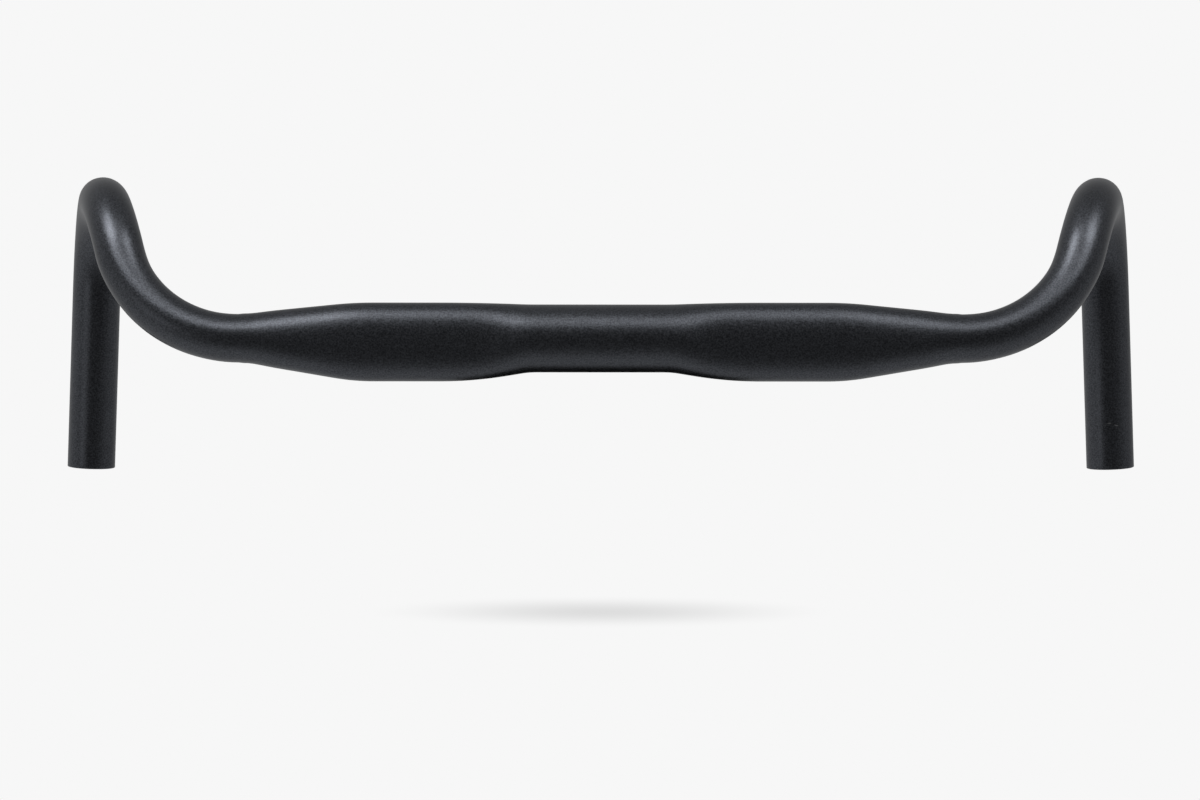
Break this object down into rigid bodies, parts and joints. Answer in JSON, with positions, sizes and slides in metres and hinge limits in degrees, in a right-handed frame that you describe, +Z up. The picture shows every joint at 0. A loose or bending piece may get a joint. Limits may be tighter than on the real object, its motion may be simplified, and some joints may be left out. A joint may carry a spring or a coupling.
{
  "type": "gravel drop handlebar",
  "caption": "One-piece aluminium bicycle drop bar: round clamp centre, flattened tops, curved ramps and hooks, flared drops with open ends.",
  "frame": {"origin": "centre of the round clamp zone, on its axis", "axes": "+X along the clamp axis to the rider's right, +Y forward away from the rider, +Z up; the drops' ends point back towards the rider"},
  "size_m": [0.5304, 0.1361, 0.1422],
  "materials": {
    "satin_black": "satin, fine bead-blasted and anodised"
  },
  "bodies": {
    "root": {"handlebar": "satin_black"}
  },
  "joints": []
}
